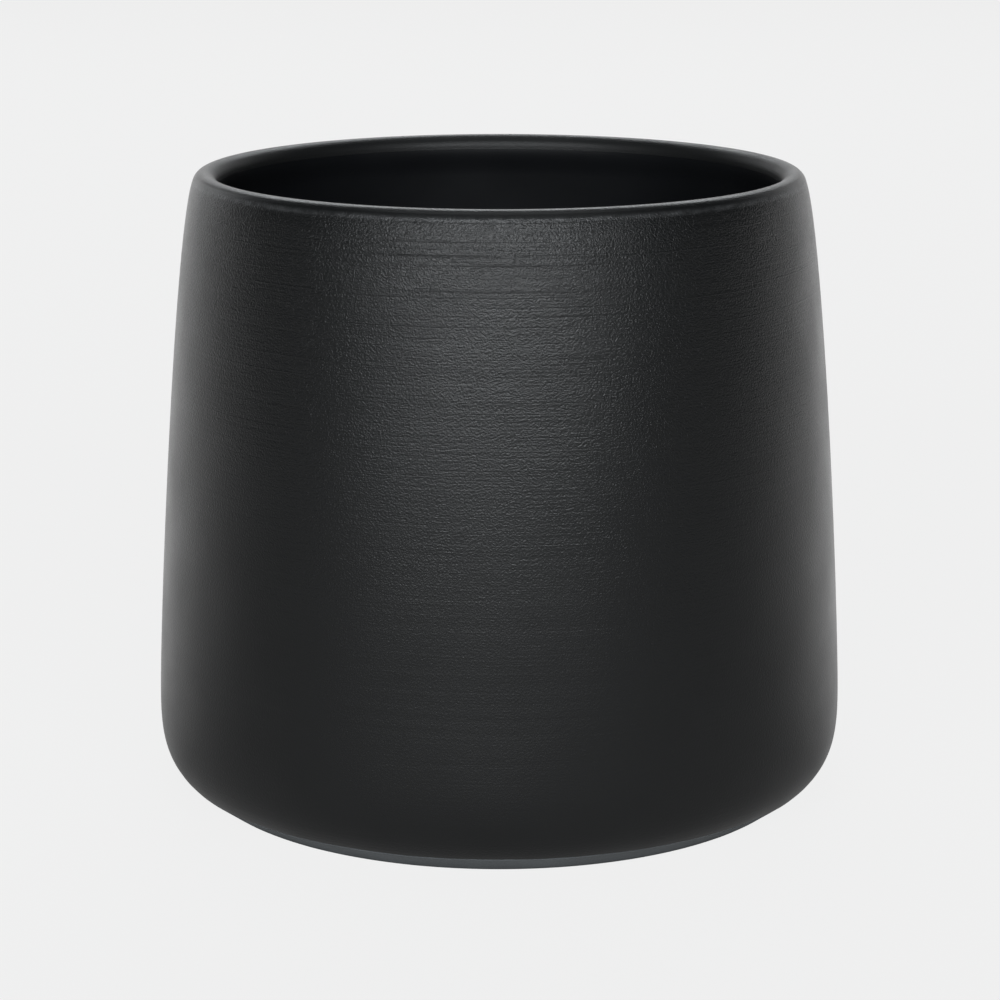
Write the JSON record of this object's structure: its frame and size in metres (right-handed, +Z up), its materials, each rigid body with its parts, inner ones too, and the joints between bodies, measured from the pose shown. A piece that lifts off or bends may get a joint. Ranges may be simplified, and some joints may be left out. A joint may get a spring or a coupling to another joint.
{
  "type": "empty candle jar",
  "caption": "Slightly tapered stoneware candle vessel with an open mouth, a rounded lip, a matte textured outer glaze, a smooth inner glaze and a bare chamfered foot.",
  "frame": {"origin": "centre of the foot, on the surface that the jar stands on", "axes": "+Z up along the jar's axis, through the mouth; the jar is round, so X and Y are free"},
  "size_m": [0.1, 0.1, 0.09],
  "materials": {
    "bare_stoneware": "dry unglazed charcoal clay",
    "matte_black_glaze": "matte, fine grained, with faint turning lines",
    "satin_black_glaze": "smooth satin"
  },
  "bodies": {
    "root": {"stoneware_body": "bare_stoneware", "outer_glaze_coat": "matte_black_glaze", "inner_glaze_liner": "satin_black_glaze"}
  },
  "joints": []
}
